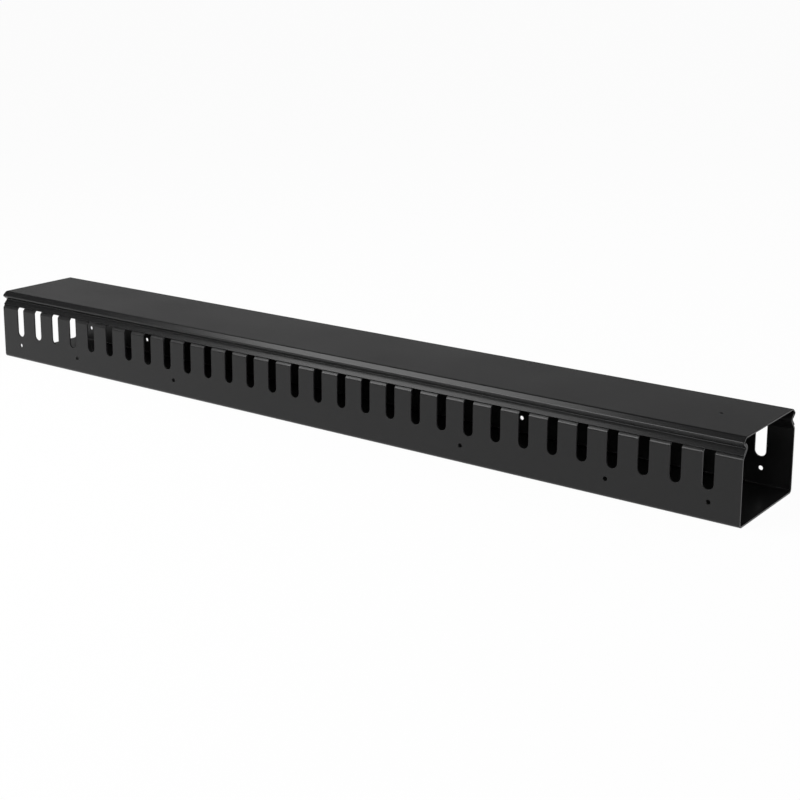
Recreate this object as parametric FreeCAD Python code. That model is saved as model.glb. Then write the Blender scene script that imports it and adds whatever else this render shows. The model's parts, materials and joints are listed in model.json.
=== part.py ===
import FreeCAD, Part
import math
import os

# Vertical cable manager: a slotted duct folded from sheet steel, with a press-on cover.
# It lies on its back. X runs along the duct, Y across it and Z up from the back to the cover.
# The origin is in the middle of the underside. All sizes are in millimetres.

# Overall duct
LENGTH = 914.4
WIDTH = 108.0
HEIGHT = 77.0

# Channel sheet
CHANNEL_SHEET = 1.5
CHANNEL_BEND = 2.2  # inside radius of the folds

# Cover sheet
COVER_SHEET = 1.2
COVER_BEND = 0.6  # inside radius of the folds along the groove
SHOULDER_BEND = 2.4  # inside radius where the top panel turns down
COVER_CLEARANCE = 0.3  # between the cover and the channel all along the groove

# Groove that holds the cover, a V folded into the top of each wall
GROOVE_Z = 67.6  # height of the bottom of the V, on the channel's own outer face
GROOVE_DEPTH = 7.9  # from the wall's outer face to the bottom of the V
UPPER_SLOPE = 52.0  # of the V's upper side from the upright, in degrees
LOWER_SLOPE = 42.0  # of its lower side from the upright, in degrees
FLARE_LENGTH = 6.8  # the channel's sheet above the V
LIP_LENGTH = 7.8  # the cover's sheet below the V
SHOULDER_WIDTH = 5.6  # from the side of the duct to the fold at the edge of the flat top panel
TIP_INSET = 0.5  # from the side of the duct to the fold at the tip

# Finger slots in both walls
SLOT_PITCH = 29.5
SLOT_WIDTH = 10.6
SLOT_BOTTOM_Z = 27.6
SLOT_TOP_GAP = 0.3  # along the sheet, from the fold of the V to the hidden end of a slot
SLOT_END_ROOM = 25.0  # least distance from the end of the duct to the middle of a slot

# Screw holes low in both walls, in pairs about the middle of the length
WALL_HOLE_DIAMETER = 4.3
WALL_HOLE_Z = 17.0
OUTER_HOLE_INSET = 28.4  # from each end
MIDDLE_HOLE_SPAN = 666.75  # fifteen rack units
INNER_HOLE_SPAN = 366.5

# Mounting slots along the middle of the back
BACK_SLOT_WIDTH = 7.0
BACK_SLOT_LENGTH = 14.0
BACK_OUTER_SPAN = 711.2  # sixteen rack units
BACK_INNER_SPAN = 266.7  # six rack units

# Small hole in the cover near one end
COVER_HOLE_DIAMETER = 3.6
COVER_HOLE_INSET = 44.0  # from the end

# Directions
ALONG = FreeCAD.Vector(1, 0, 0)
ACROSS = FreeCAD.Vector(0, 1, 0)
UP = FreeCAD.Vector(0, 0, 1)

# Sizes that follow
half_length = LENGTH / 2
half_width = WIDTH / 2
upper_slope = math.radians(UPPER_SLOPE)
lower_slope = math.radians(LOWER_SLOPE)
groove_turn = upper_slope + lower_slope
snug_bend = COVER_BEND + COVER_SHEET + COVER_CLEARANCE  # the channel's fold nests round the cover's
slot_count = int((LENGTH - 2 * SLOT_END_ROOM) / SLOT_PITCH) + 1
slot_row = (slot_count - 1) * SLOT_PITCH


def groove_bottom(offset):
    """Place across the duct and height of the bottom of the V, on a line along the sheets.

    The offset is how far the line lies inside the channel's outer face, square to the sheet.
    """
    reach = (math.sin(upper_slope) + math.sin(lower_slope)) / math.sin(groove_turn)
    rise = (math.cos(lower_slope) - math.cos(upper_slope)) / math.sin(groove_turn)
    return half_width - GROOVE_DEPTH - offset * reach, GROOVE_Z + offset * rise


def lower_side_z(across, offset):
    """Height of the V's lower side at a place across the duct."""
    bottom_y, bottom_z = groove_bottom(offset)
    return bottom_z - (across - bottom_y) / math.tan(lower_slope)


def upper_side_z(across, offset):
    """Height of the V's upper side at a place across the duct."""
    bottom_y, bottom_z = groove_bottom(offset)
    return bottom_z + (across - bottom_y) / math.tan(upper_slope)


def folded_section(corners, sheet, inside_radii):
    """Closed outline, in the YZ plane, of a sheet whose middle follows the corners.

    Corners are (y, z) pairs, and inside_radii has one radius for each fold between them.
    """
    points = [FreeCAD.Vector(-half_length, y, z) for y, z in corners]
    runs = [(after - before).normalize() for before, after in zip(points, points[1:])]
    square = [FreeCAD.Vector(0, -run.z, run.y) for run in runs]
    starts = [points[0]]
    ends = []
    folds = []
    for index, radius in enumerate(inside_radii):
        corner = points[index + 1]
        before = runs[index]
        after = runs[index + 1]
        side = 1 if before.cross(after).x > 0 else -1
        middle_radius = radius + sheet / 2
        trim = middle_radius * math.tan(before.getAngle(after) / 2)
        ends.append(corner - before * trim)
        starts.append(corner + after * trim)
        centre = ends[-1] + square[index] * (side * middle_radius)
        folds.append((centre, (corner - centre).normalize(), side, middle_radius))
    ends.append(points[-1])
    left = face_edges(starts, ends, square, folds, sheet / 2)
    right = face_edges(starts, ends, square, folds, -sheet / 2)
    first_cap = Part.makeLine(right[0].Vertexes[0].Point, left[0].Vertexes[0].Point)
    last_cap = Part.makeLine(left[-1].Vertexes[1].Point, right[-1].Vertexes[1].Point)
    return Part.Face(Part.Wire([first_cap] + left + [last_cap] + right[::-1]))


def face_edges(starts, ends, square, folds, offset):
    """Edges of one face of the sheet: straight runs joined by the arcs of the folds."""
    edges = []
    for index, (start, end) in enumerate(zip(starts, ends)):
        shift = square[index] * offset
        edges.append(Part.makeLine(start + shift, end + shift))
        if index < len(folds):
            centre, outward, side, middle_radius = folds[index]
            middle = centre + outward * (middle_radius - side * offset)
            next_start = starts[index + 1] + square[index + 1] * offset
            edges.append(Part.Arc(end + shift, middle, next_start).toShape())
    return edges


def mirrored(corners):
    """The corners of one side of the duct, followed by the same on the other side."""
    return corners + [(-y, z) for y, z in reversed(corners)]


def slot_face(round_end, along, across, length, width, square_end=False):
    """Flat outline of a slot that starts at a round end and runs along a direction."""
    radius = width / 2
    side = across * radius
    near = round_end + along * radius
    far = round_end + along * (length if square_end else length - radius)
    edges = [
        Part.Arc(near + side, round_end, near - side).toShape(),
        Part.makeLine(near - side, far - side),
    ]
    if square_end:
        edges.append(Part.makeLine(far - side, far + side))
    else:
        edges.append(Part.Arc(far - side, far + along * radius, far + side).toShape())
    edges.append(Part.makeLine(far + side, near + side))
    return Part.Face(Part.Wire(edges))


def finger_slots():
    """Cutters for the slots, which are punched in the flat sheet before it is folded.

    Each slot has a round foot in the upright of both walls and runs on into the slope of each
    groove, where the lip hides its square end. Each stretch is cut square to its own sheet.
    """
    crease_z = lower_side_z(half_width, 0)
    foot = FreeCAD.Vector(0, -WIDTH, SLOT_BOTTOM_Z)
    upright = slot_face(foot, UP, ALONG, crease_z - SLOT_BOTTOM_Z, SLOT_WIDTH, True)
    cutters = [upright.extrude(ACROSS * (2 * WIDTH))]
    middle = CHANNEL_SHEET / 2
    bottom_y, bottom_z = groove_bottom(middle)
    fold_length = (snug_bend + middle) * math.tan(groove_turn / 2)
    slope_run = GROOVE_DEPTH / math.sin(lower_slope)
    for side in (-1, 1):
        down_slope = FreeCAD.Vector(0, side * math.sin(lower_slope), -math.cos(lower_slope))
        through = FreeCAD.Vector(0, side * math.cos(lower_slope), math.sin(lower_slope))
        corner = FreeCAD.Vector(0, side * bottom_y, bottom_z)
        top = corner + down_slope * (fold_length + SLOT_TOP_GAP) - through * CHANNEL_SHEET
        edge = Part.makeLine(top - ALONG * (SLOT_WIDTH / 2), top + ALONG * (SLOT_WIDTH / 2))
        slope_face = edge.extrude(down_slope * slope_run)
        cutters.append(slope_face.extrude(through * (2 * CHANNEL_SHEET)))
    row = []
    for index in range(slot_count):
        for cutter in cutters:
            placed = cutter.copy()
            placed.translate(ALONG * (index * SLOT_PITCH - slot_row / 2))
            row.append(placed)
    return row


def wall_holes():
    """Cutters for the screw holes, each passing through both walls."""
    cutters = []
    spans = (LENGTH - 2 * OUTER_HOLE_INSET, MIDDLE_HOLE_SPAN, INNER_HOLE_SPAN)
    for span in spans:
        for x in (-span / 2, span / 2):
            base = FreeCAD.Vector(x, -WIDTH, WALL_HOLE_Z)
            cutters.append(Part.makeCylinder(WALL_HOLE_DIAMETER / 2, 2 * WIDTH, base, ACROSS))
    return cutters


def back_slots():
    """Cutters for the mounting slots, which run along the duct."""
    cutters = []
    for span in (BACK_OUTER_SPAN, BACK_INNER_SPAN):
        for middle in (-span / 2, span / 2):
            start = FreeCAD.Vector(middle - BACK_SLOT_LENGTH / 2, 0, -CHANNEL_SHEET)
            slot = slot_face(start, ALONG, ACROSS, BACK_SLOT_LENGTH, BACK_SLOT_WIDTH)
            cutters.append(slot.extrude(UP * (3 * CHANNEL_SHEET)))
    return cutters


def channel():
    """The duct's back and walls, folded inward and out again at the top, with all its holes."""
    middle = CHANNEL_SHEET / 2
    wall_y = half_width - middle
    crease_z = lower_side_z(wall_y, middle)
    bottom_y, bottom_z = groove_bottom(middle)
    flare_y = bottom_y + FLARE_LENGTH * math.sin(upper_slope)
    flare_z = bottom_z + FLARE_LENGTH * math.cos(upper_slope)
    near_side = [
        (-flare_y, flare_z),
        (-bottom_y, bottom_z),
        (-wall_y, crease_z),
        (-wall_y, middle),
    ]
    bends = [snug_bend, CHANNEL_BEND, CHANNEL_BEND]
    section = folded_section(mirrored(near_side), CHANNEL_SHEET, bends + bends[::-1])
    solid = section.extrude(FreeCAD.Vector(LENGTH, 0, 0))
    return solid.cut(finger_slots() + wall_holes() + back_slots())


def cover():
    """The flat cover with a sloped shoulder, a round tip and a lip down each side."""
    middle = COVER_SHEET / 2
    offset = -COVER_CLEARANCE - middle
    panel_y = half_width - SHOULDER_WIDTH
    panel_z = HEIGHT - middle
    bottom_y, bottom_z = groove_bottom(offset)
    tip_y = half_width - TIP_INSET
    tip_z = upper_side_z(tip_y, offset)
    lip_y = bottom_y + LIP_LENGTH * math.sin(lower_slope)
    lip_z = bottom_z - LIP_LENGTH * math.cos(lower_slope)
    near_side = [
        (-lip_y, lip_z),
        (-bottom_y, bottom_z),
        (-tip_y, tip_z),
        (-panel_y, panel_z),
    ]
    bends = [COVER_BEND, COVER_BEND, SHOULDER_BEND]
    section = folded_section(mirrored(near_side), COVER_SHEET, bends + bends[::-1])
    solid = section.extrude(FreeCAD.Vector(LENGTH, 0, 0))
    hole_base = FreeCAD.Vector(half_length - COVER_HOLE_INSET, 0, GROOVE_Z)
    hole = Part.makeCylinder(COVER_HOLE_DIAMETER / 2, HEIGHT, hole_base)
    return solid.cut(hole)


os.makedirs("parts", exist_ok=True)
for name, shape in (("channel", channel()), ("cover", cover())):
    shape.exportStep(f"parts/{name}.step")
    box = shape.BoundBox
    print(name, len(shape.Solids), shape.isValid(), round(shape.Volume), box)
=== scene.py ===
"""A slotted cable duct and its press-on cover, in satin black powder coat on a pale studio floor.

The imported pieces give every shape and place. Each of the two folded sheets is dressed as a merged
copy of its own node, with its cut edges rounded as a coat of powder rounds them. All lengths are
in metres. X runs along the duct, Y across it and Z up.
"""

import json
import logging
import math
from dataclasses import dataclass, field
from enum import Enum

import bpy
from mathutils import Euler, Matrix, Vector

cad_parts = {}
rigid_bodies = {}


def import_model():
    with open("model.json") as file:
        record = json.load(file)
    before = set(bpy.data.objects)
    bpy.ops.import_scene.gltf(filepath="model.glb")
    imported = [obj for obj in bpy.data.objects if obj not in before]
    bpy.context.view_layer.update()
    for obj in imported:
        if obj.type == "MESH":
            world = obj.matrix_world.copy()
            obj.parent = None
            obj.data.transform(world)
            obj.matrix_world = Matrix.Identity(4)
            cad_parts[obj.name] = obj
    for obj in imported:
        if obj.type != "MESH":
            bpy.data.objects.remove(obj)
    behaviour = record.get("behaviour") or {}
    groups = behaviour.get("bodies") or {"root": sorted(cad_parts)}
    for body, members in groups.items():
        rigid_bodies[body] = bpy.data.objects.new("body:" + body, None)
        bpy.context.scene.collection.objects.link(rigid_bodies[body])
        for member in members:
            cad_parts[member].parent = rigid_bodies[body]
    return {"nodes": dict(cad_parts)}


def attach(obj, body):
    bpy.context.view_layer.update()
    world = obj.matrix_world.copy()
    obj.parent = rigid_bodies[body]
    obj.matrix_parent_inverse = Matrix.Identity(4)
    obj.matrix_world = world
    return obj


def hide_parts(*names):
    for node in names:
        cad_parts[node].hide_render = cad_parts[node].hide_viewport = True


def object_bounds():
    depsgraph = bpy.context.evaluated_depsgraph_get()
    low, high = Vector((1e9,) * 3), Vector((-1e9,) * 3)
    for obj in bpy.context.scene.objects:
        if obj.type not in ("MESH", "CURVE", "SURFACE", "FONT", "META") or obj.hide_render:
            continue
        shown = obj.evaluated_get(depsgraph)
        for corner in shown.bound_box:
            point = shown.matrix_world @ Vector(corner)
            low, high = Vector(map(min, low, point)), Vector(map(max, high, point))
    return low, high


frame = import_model()
CAD_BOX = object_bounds()

LOG = logging.getLogger("duct")

# Lump sizes of the random patterns in the coat
CLOUD_SIZE = 0.09
WEAR_PATCH_SIZE = 0.004

# How far a normal leans to X where the cut edge's mask starts and where it is full
EDGE_LEAN_START = 0.25
EDGE_LEAN_FULL = 0.8

Colour = tuple[float, float, float]
Corner = tuple[float, float, float]


class Place(Enum):
    """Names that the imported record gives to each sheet: its node, body and paint."""

    CHANNEL = ("channel", "channel", "channel_paint")
    COVER = ("cover", "cover", "cover_paint")


def deselect_all() -> None:
    """Leaves object mode with nothing selected, so that the next operator acts on its own piece."""
    if bpy.context.object and bpy.context.object.mode != "OBJECT":
        bpy.ops.object.mode_set(mode="OBJECT")
    bpy.ops.object.select_all(action="DESELECT")


def make_active(piece: bpy.types.Object) -> None:
    """Selects one piece alone and makes it the active one.

    Args:
        piece: The object that the next operators act on.
    """
    deselect_all()
    piece.select_set(True)
    bpy.context.view_layer.objects.active = piece


class NodeGroup:
    """A shader node group under construction, with its named inputs and outputs."""

    def __init__(self, name: str, inputs: dict[str, float], outputs: dict[str, str]) -> None:
        """Starts the group.

        Args:
            name: The group's name.
            inputs: Name and usual value of each number that it takes.
            outputs: Name and socket type of each result.
        """
        self.tree = bpy.data.node_groups.new(name, "ShaderNodeTree")
        for label, value in inputs.items():
            socket = self.tree.interface.new_socket(label, in_out="INPUT", socket_type="NodeSocketFloat")
            socket.default_value = value
        for label, kind in outputs.items():
            self.tree.interface.new_socket(label, in_out="OUTPUT", socket_type=kind)
        self.enter = self.tree.nodes.new("NodeGroupInput")
        self.leave = self.tree.nodes.new("NodeGroupOutput")

    def node(self, kind: str, **settings: object) -> bpy.types.Node:
        """Adds a node and sets its properties.

        Args:
            kind: The node's type.
            settings: Properties of the node, by name.

        Returns:
            The new node.
        """
        made = self.tree.nodes.new(kind)
        for label, value in settings.items():
            setattr(made, label, value)
        return made

    def link(self, source: bpy.types.NodeSocket, target: bpy.types.NodeSocket) -> None:
        """Joins an output socket to an input socket."""
        self.tree.links.new(source, target)

    def math(self, operation: str, first: object, second: object = None) -> bpy.types.NodeSocket:
        """Adds a calculation on one or two values.

        Args:
            operation: The Math node's operation.
            first: A socket or a number.
            second: A socket, a number, or None for an operation on one value.

        Returns:
            The result's socket.
        """
        made = self.node("ShaderNodeMath", operation=operation)
        for socket, value in zip(made.inputs, (first, second)):
            if isinstance(value, bpy.types.NodeSocket):
                self.link(value, socket)
            elif value is not None:
                socket.default_value = value
        return made.outputs[0]

    def noise(self, place: bpy.types.NodeSocket, size: object, detail: float) -> bpy.types.NodeSocket:
        """Adds a soft random pattern.

        Args:
            place: Where the pattern is read.
            size: Length of one lump, as a socket or a number.
            detail: How many finer layers it has.

        Returns:
            The socket of its value, from 0 to 1.
        """
        made = self.node("ShaderNodeTexNoise")
        self.link(place, made.inputs["Vector"])
        self.link(self.math("DIVIDE", 1.0, size), made.inputs["Scale"])
        made.inputs["Detail"].default_value = detail
        return made.outputs["Fac"]


def powder_grain_group() -> bpy.types.NodeTree:
    """Builds the surface of sprayed and baked powder: soft orange peel with a fine grain on it.

    Returns:
        A group that puts out the relief in metres and a tint and gloss that vary about 0.
    """
    group = NodeGroup(
        "powder_grain",
        {"Peel Size": 0.0016, "Peel Height": 0.000004, "Grain Size": 0.0003, "Grain Height": 0.000001},
        {"Relief": "NodeSocketFloat", "Tint": "NodeSocketFloat", "Gloss": "NodeSocketFloat"},
    )
    place = group.node("ShaderNodeTexCoord").outputs["Object"]
    peel = group.noise(place, group.enter.outputs["Peel Size"], 1.0)
    grain = group.noise(place, group.enter.outputs["Grain Size"], 2.0)
    cloud = group.noise(place, CLOUD_SIZE, 2.0)
    peel_height = group.math("MULTIPLY", peel, group.enter.outputs["Peel Height"])
    grain_height = group.math("MULTIPLY", grain, group.enter.outputs["Grain Height"])
    group.link(group.math("ADD", peel_height, grain_height), group.leave.inputs["Relief"])
    group.link(group.math("SUBTRACT", grain, 0.5), group.leave.inputs["Tint"])
    group.link(group.math("SUBTRACT", cloud, 0.5), group.leave.inputs["Gloss"])
    return group.tree


def sheet_waviness_group() -> bpy.types.NodeTree:
    """Builds the long shallow waves that the folding brake leaves along a sheet.

    Returns:
        A group that puts out the relief of the waves in metres.
    """
    group = NodeGroup(
        "sheet_waviness",
        {"Length": 0.12, "Width": 0.02, "Height": 0.00003},
        {"Relief": "NodeSocketFloat"},
    )
    place = group.node("ShaderNodeTexCoord").outputs["Object"]
    split = group.node("ShaderNodeSeparateXYZ")
    joined = group.node("ShaderNodeCombineXYZ")
    group.link(place, split.inputs[0])
    group.link(group.math("DIVIDE", split.outputs["X"], group.enter.outputs["Length"]), joined.inputs["X"])
    for axis in ("Y", "Z"):
        across = group.math("DIVIDE", split.outputs[axis], group.enter.outputs["Width"])
        group.link(across, joined.inputs[axis])
    wave = group.noise(joined.outputs[0], 1.0, 1.0)
    group.link(group.math("MULTIPLY", wave, group.enter.outputs["Height"]), group.leave.inputs["Relief"])
    return group.tree


def cut_edge_group() -> bpy.types.NodeTree:
    """Builds the mask of the sheet's cut edges, where the powder draws back and wears first. The lighter
    colour laid on this mask is partly that thin, worn powder and partly a painted highlight of the edges
    catching light.

    The folded faces all run along X, so only a cut edge has a normal that leans to X.

    Returns:
        A group that puts out 1 on a cut edge and 0 on the faces of the sheet.
    """
    group = NodeGroup("cut_edge", {"Patchiness": 0.5}, {"Edge": "NodeSocketFloat"})
    coordinates = group.node("ShaderNodeTexCoord")
    split = group.node("ShaderNodeSeparateXYZ")
    group.link(coordinates.outputs["Normal"], split.inputs[0])
    lean = group.math("ABSOLUTE", split.outputs["X"])
    ramp = group.node("ShaderNodeMapRange", interpolation_type="SMOOTHSTEP")
    ramp.inputs["From Min"].default_value = EDGE_LEAN_START
    ramp.inputs["From Max"].default_value = EDGE_LEAN_FULL
    group.link(lean, ramp.inputs["Value"])
    patches = group.noise(coordinates.outputs["Object"], WEAR_PATCH_SIZE, 2.0)
    loss = group.math("MULTIPLY", patches, group.enter.outputs["Patchiness"])
    kept = group.math("SUBTRACT", 1.0, loss)
    group.link(group.math("MULTIPLY", ramp.outputs["Result"], kept), group.leave.inputs["Edge"])
    return group.tree


@dataclass(frozen=True)
class PowderCoat:
    """Satin powder coat on folded steel, with its grain at real size."""

    name: str
    colour: Colour
    # Lighter colour of the cut edges: partly thin, worn powder and partly a painted highlight of the edges
    # catching light.
    worn_edge_and_highlight_colour: Colour
    roughness: float
    shine: float
    edge_roughness: float
    peel_size: float
    peel_height: float
    wave_length: float
    wave_height: float
    tint_range: float = 0.25
    gloss_range: float = 0.10
    grain_size: float = 0.0003
    grain_height: float = 0.0000008
    wave_width: float = 0.02
    edge_patchiness: float = 0.5

    def material(self, groups: dict[str, bpy.types.NodeTree]) -> bpy.types.Material:
        """Builds the finish as a material.

        Args:
            groups: The shared node groups, by name.

        Returns:
            The material.
        """
        made = bpy.data.materials.new(self.name)
        made.use_nodes = True
        nodes = made.node_tree.nodes
        links = made.node_tree.links
        shader = nodes["Principled BSDF"]
        shader.inputs["Specular IOR Level"].default_value = self.shine
        placed = {}
        for label, tree in groups.items():
            placed[label] = nodes.new("ShaderNodeGroup")
            placed[label].node_tree = tree
        grain = placed["grain"]
        waves = placed["waves"]
        edges = placed["edges"]
        grain.inputs["Peel Size"].default_value = self.peel_size
        grain.inputs["Peel Height"].default_value = self.peel_height
        grain.inputs["Grain Size"].default_value = self.grain_size
        grain.inputs["Grain Height"].default_value = self.grain_height
        waves.inputs["Length"].default_value = self.wave_length
        waves.inputs["Width"].default_value = self.wave_width
        waves.inputs["Height"].default_value = self.wave_height
        edges.inputs["Patchiness"].default_value = self.edge_patchiness

        tinted = nodes.new("ShaderNodeMath")
        tinted.operation = "MULTIPLY_ADD"
        tinted.inputs[1].default_value = self.tint_range
        tinted.inputs[2].default_value = 1.0
        links.new(grain.outputs["Tint"], tinted.inputs[0])
        base = nodes.new("ShaderNodeMix")
        base.data_type = "RGBA"
        base.inputs["A"].default_value = (*self.colour, 1.0)
        # The cut edges get a lighter colour: partly thin, worn powder and partly a painted highlight where
        # the edges catch light.
        base.inputs["B"].default_value = (*self.worn_edge_and_highlight_colour, 1.0)
        links.new(edges.outputs["Edge"], base.inputs["Factor"])
        shaded = nodes.new("ShaderNodeVectorMath")
        shaded.operation = "SCALE"
        links.new(base.outputs["Result"], shaded.inputs[0])
        links.new(tinted.outputs[0], shaded.inputs["Scale"])
        links.new(shaded.outputs[0], shader.inputs["Base Color"])

        gloss = nodes.new("ShaderNodeMath")
        gloss.operation = "MULTIPLY_ADD"
        gloss.inputs[1].default_value = self.gloss_range
        gloss.inputs[2].default_value = self.roughness
        links.new(grain.outputs["Gloss"], gloss.inputs[0])
        rough = nodes.new("ShaderNodeMix")
        rough.inputs["B"].default_value = self.edge_roughness
        links.new(edges.outputs["Edge"], rough.inputs["Factor"])
        links.new(gloss.outputs[0], rough.inputs["A"])
        links.new(rough.outputs["Result"], shader.inputs["Roughness"])

        relief = nodes.new("ShaderNodeMath")
        relief.operation = "ADD"
        links.new(grain.outputs["Relief"], relief.inputs[0])
        links.new(waves.outputs["Relief"], relief.inputs[1])
        bump = nodes.new("ShaderNodeBump")
        bump.inputs["Strength"].default_value = 1.0
        bump.inputs["Distance"].default_value = 1.0
        links.new(relief.outputs[0], bump.inputs["Height"])
        links.new(bump.outputs["Normal"], shader.inputs["Normal"])
        return made


CHANNEL_COAT = PowderCoat(
    name="channel_powder_coat",
    colour=(0.0090, 0.0090, 0.0092),
    worn_edge_and_highlight_colour=(0.026, 0.026, 0.027),
    roughness=0.30,
    shine=0.30,
    edge_roughness=0.40,
    peel_size=0.0016,
    peel_height=0.000004,
    wave_length=0.12,
    wave_height=0.00002,
)
COVER_COAT = PowderCoat(
    name="cover_powder_coat",
    colour=(0.0090, 0.0090, 0.0092),
    worn_edge_and_highlight_colour=(0.028, 0.028, 0.029),
    roughness=0.25,
    shine=0.30,
    edge_roughness=0.40,
    peel_size=0.0015,
    peel_height=0.000004,
    wave_length=0.09,
    wave_height=0.00002,
)


@dataclass
class FoldedSheet:
    """One folded sheet of the duct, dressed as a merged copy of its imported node."""

    name: str
    place: Place
    coat: PowderCoat
    merge_distance: float = 0.000002
    flat_angle: float = math.radians(0.5)
    sharp_angle: float = math.radians(40.0)
    edge_radius: float = 0.00025
    edge_steps: int = 3
    flat_weight: int = 100

    def copy_of_node(self) -> bpy.types.Object:
        """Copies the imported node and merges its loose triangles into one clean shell.

        Returns:
            The copy, with its place in its mesh.
        """
        node = frame["nodes"][self.place.value[0]]
        make_active(node)
        bpy.ops.object.duplicate()
        piece = bpy.context.object
        bpy.ops.object.parent_clear(type="CLEAR_KEEP_TRANSFORM")
        piece.name = self.name
        piece.data.name = self.name
        for label in list(piece.keys()):
            del piece[label]
        bpy.ops.object.mode_set(mode="EDIT")
        bpy.ops.mesh.select_all(action="SELECT")
        bpy.ops.mesh.customdata_custom_splitnormals_clear()
        bpy.ops.mesh.remove_doubles(threshold=self.merge_distance)
        bpy.ops.mesh.dissolve_limited(angle_limit=self.flat_angle)
        bpy.ops.object.mode_set(mode="OBJECT")
        return piece

    def round_edges(self, piece: bpy.types.Object) -> None:
        """Rounds the cut edges of the sheet and smooths its folds, keeping its flats flat.

        Args:
            piece: The merged shell.
        """
        make_active(piece)
        bevel = piece.modifiers.new("rounded_edges", "BEVEL")
        bevel.width = self.edge_radius
        bevel.segments = self.edge_steps
        bevel.limit_method = "ANGLE"
        bevel.angle_limit = self.sharp_angle
        bevel.miter_outer = "MITER_ARC"
        bpy.ops.object.modifier_apply(modifier=bevel.name)
        bpy.ops.object.shade_smooth()
        flats = piece.modifiers.new("flats", "WEIGHTED_NORMAL")
        flats.weight = self.flat_weight
        flats.keep_sharp = True
        bpy.ops.object.modifier_apply(modifier=flats.name)

    def dress(self, piece: bpy.types.Object, groups: dict[str, bpy.types.NodeTree]) -> None:
        """Gives the sheet its coat and ties it to its body.

        Args:
            piece: The finished shell.
            groups: The shared node groups, by name.
        """
        piece.data.materials.clear()
        piece.data.materials.append(self.coat.material(groups))
        node, body, paint = self.place.value
        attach(piece, body)
        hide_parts(node)

    def build(self, groups: dict[str, bpy.types.NodeTree]) -> bpy.types.Object:
        """Makes the sheet from its node.

        Args:
            groups: The shared node groups, by name.

        Returns:
            The dressed piece.
        """
        piece = self.copy_of_node()
        self.round_edges(piece)
        self.dress(piece, groups)
        return piece


@dataclass(frozen=True)
class Softbox:
    """A soft rectangular lamp, aimed at a point of the duct."""

    name: str
    place: Corner
    aim: Corner
    width: float
    height: float
    power: float

    def build(self) -> bpy.types.Object:
        """Adds the lamp.

        Returns:
            The lamp's object.
        """
        deselect_all()
        bpy.ops.object.light_add(type="AREA", location=self.place)
        made = bpy.context.object
        made.name = self.name
        made.data.shape = "RECTANGLE"
        made.data.size = self.width
        made.data.size_y = self.height
        made.data.energy = self.power
        direction = Vector(self.aim) - Vector(self.place)
        made.rotation_euler = direction.to_track_quat("-Z", "Y").to_euler()
        return made


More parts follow.
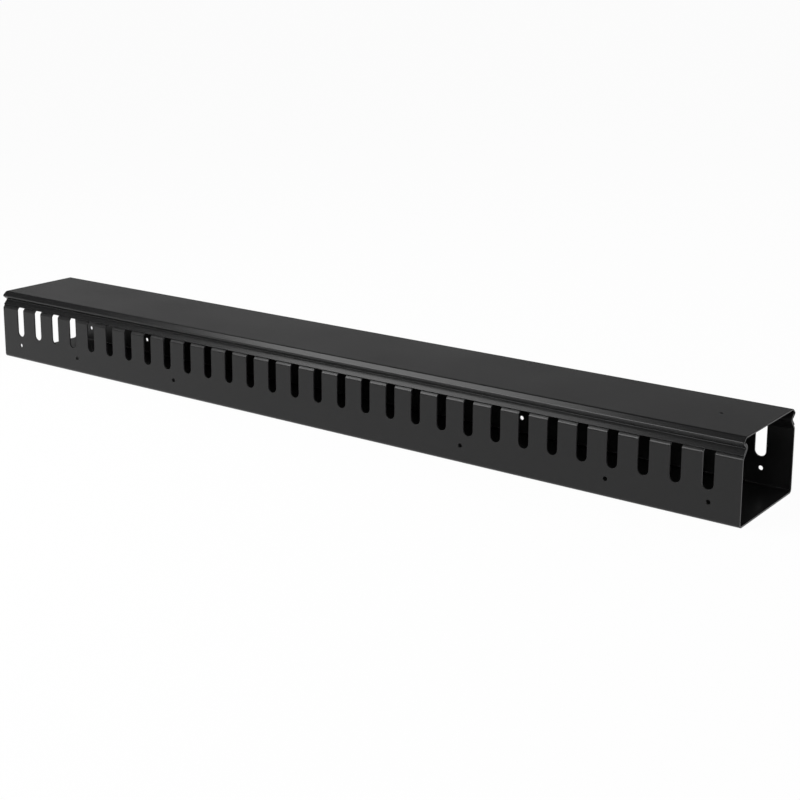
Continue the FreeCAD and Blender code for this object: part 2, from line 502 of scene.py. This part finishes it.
@dataclass
class Studio:
    """The pale floor, its surroundings and the lamps.

    Each step of the backdrop holds the sine of a height over the horizon and the strength seen there.
    """

    floor_size: float = 60.0
    floor_colour: Colour = (0.80, 0.80, 0.80)
    floor_white: float = 0.965
    ambient: float = 0.12
    backdrop: tuple[tuple[float, float], ...] = (
        (0.04, 1.00),
        (0.10, 0.06),
        (0.19, 0.12),
        (0.235, 0.47),
        (0.262, 0.47),
        (0.29, 0.20),
        (0.36, 0.05),
        (0.50, 0.02),
    )
    seen_by: tuple[str, ...] = ("Is Camera Ray", "Is Glossy Ray", "Is Transmission Ray")
    lamps: list[Softbox] = field(default_factory=list)

    def seen(self, tree: bpy.types.NodeTree) -> bpy.types.NodeSocket:
        """Tells the rays that show the surroundings, straight or in a shine, from those that light.

        Args:
            tree: The node tree that asks.

        Returns:
            A socket that is 1 for camera, glossy and transmission rays and 0 for the others.
        """
        path = tree.nodes.new("ShaderNodeLightPath")
        level = path.outputs[self.seen_by[0]]
        for ray in self.seen_by[1:]:
            either = tree.nodes.new("ShaderNodeMath")
            either.operation = "MAXIMUM"
            tree.links.new(level, either.inputs[0])
            tree.links.new(path.outputs[ray], either.inputs[1])
            level = either.outputs[0]
        return level

    def build_floor(self) -> bpy.types.Object:
        """Lays the floor under the duct. It is seen and mirrored white, with the duct's soft shadow.

        Returns:
            The floor's object.
        """
        deselect_all()
        bpy.ops.mesh.primitive_plane_add(size=self.floor_size, location=(0.0, 0.0, CAD_BOX[0].z))
        floor = bpy.context.object
        floor.name = "studio_floor"
        made = bpy.data.materials.new("pale_floor")
        made.use_nodes = True
        nodes = made.node_tree.nodes
        links = made.node_tree.links
        nodes.clear()
        out = nodes.new("ShaderNodeOutputMaterial")
        matt = nodes.new("ShaderNodeBsdfDiffuse")
        matt.inputs["Color"].default_value = (*self.floor_colour, 1.0)
        white = nodes.new("ShaderNodeEmission")
        share = nodes.new("ShaderNodeMath")
        share.operation = "MULTIPLY"
        share.inputs[1].default_value = self.floor_white
        both = nodes.new("ShaderNodeMixShader")
        links.new(self.seen(made.node_tree), share.inputs[0])
        links.new(share.outputs[0], both.inputs["Fac"])
        links.new(matt.outputs[0], both.inputs[1])
        links.new(white.outputs[0], both.inputs[2])
        links.new(both.outputs[0], out.inputs["Surface"])
        floor.data.materials.append(made)
        return floor

    def build_world(self) -> bpy.types.World:
        """Makes the surroundings: a white sweep that ends low over the floor, and a dim studio above it.

        The camera, a shine and a glass all see the same. Only the plain light that it sheds is set apart.

        Returns:
            The world.
        """
        world = bpy.data.worlds.new("studio_surroundings")
        world.use_nodes = True
        nodes = world.node_tree.nodes
        links = world.node_tree.links
        split = nodes.new("ShaderNodeSeparateXYZ")
        links.new(nodes.new("ShaderNodeTexCoord").outputs["Generated"], split.inputs[0])
        backdrop = nodes.new("ShaderNodeValToRGB")
        stops = backdrop.color_ramp.elements
        while len(stops) < len(self.backdrop):
            stops.new(1.0)
        for stop, (height, strength) in zip(stops, self.backdrop):
            stop.position = height
            stop.color = (strength, strength, strength, 1.0)
        links.new(split.outputs["Z"], backdrop.inputs["Fac"])
        level = nodes.new("ShaderNodeMix")
        level.inputs["A"].default_value = self.ambient
        links.new(backdrop.outputs["Color"], level.inputs["B"])
        links.new(self.seen(world.node_tree), level.inputs["Factor"])
        background = nodes["Background"]
        background.inputs["Color"].default_value = (1.0, 1.0, 1.0, 1.0)
        links.new(level.outputs["Result"], background.inputs["Strength"])
        bpy.context.scene.world = world
        return world

    def build(self) -> None:
        """Sets up the whole studio."""
        self.build_world()
        self.build_floor()
        for lamp in self.lamps:
            lamp.build()
            LOG.info("lamp %s", lamp.name)


@dataclass(frozen=True)
class Shot:
    """The camera, from the front right and a little above."""

    place: Corner = (0.91218, -1.13219, 0.44552)
    heading: float = math.radians(36.485)
    tilt: float = math.radians(-11.889)
    roll: float = math.radians(0.107)
    lens_mm: float = 66.930
    shift_up: float = -0.15
    farthest: float = 100.0

    def build(self) -> bpy.types.Object:
        """Adds the camera and makes it the scene's own.

        Returns:
            The camera's object.
        """
        deselect_all()
        level = math.radians(90.0)
        facing = Euler((level + self.tilt, 0.0, self.heading)).to_quaternion()
        turned = (facing @ Euler((0.0, 0.0, self.roll)).to_quaternion()).to_euler()
        bpy.ops.object.camera_add(location=self.place, rotation=turned)
        camera = bpy.context.object
        camera.name = "studio_camera"
        camera.data.lens = self.lens_mm
        camera.data.shift_y = self.shift_up
        camera.data.clip_end = self.farthest
        bpy.context.scene.camera = camera
        return camera


LAMPS = [
    Softbox(
        "overhead_box",
        place=(-0.855, -0.38, 1.49),
        aim=(0.62, -0.38, 0.04),
        width=0.95,
        height=0.76,
        power=10.5,
    ),
    Softbox("low_box", place=(-0.80, -1.39, 1.19), aim=(0.0, 0.0, 0.05), width=1.32, height=0.75, power=29.0),
    Softbox("fill_box", place=(1.3, -1.6, 2.0), aim=(0.0, 0.0, 0.0), width=1.5, height=1.5, power=15.0),
    Softbox("back_box", place=(1.0, 1.3, 1.8), aim=(0.0, 0.0, 0.0), width=1.2, height=1.2, power=10.0),
]


def main() -> None:
    """Builds the sheets, the studio and the camera in order."""
    logging.basicConfig(level=logging.INFO, format="%(name)s: %(message)s")
    bpy.context.scene.view_settings.view_transform = "Standard"
    groups = {
        "grain": powder_grain_group(),
        "waves": sheet_waviness_group(),
        "edges": cut_edge_group(),
    }
    sheets = (
        FoldedSheet("painted_channel", Place.CHANNEL, CHANNEL_COAT),
        FoldedSheet("painted_cover", Place.COVER, COVER_COAT),
    )
    for sheet in sheets:
        piece = sheet.build(groups)
        LOG.info("%s: %d faces", piece.name, len(piece.data.polygons))
    Studio(lamps=LAMPS).build()
    Shot().build()


if __name__ == "__main__":
    main()
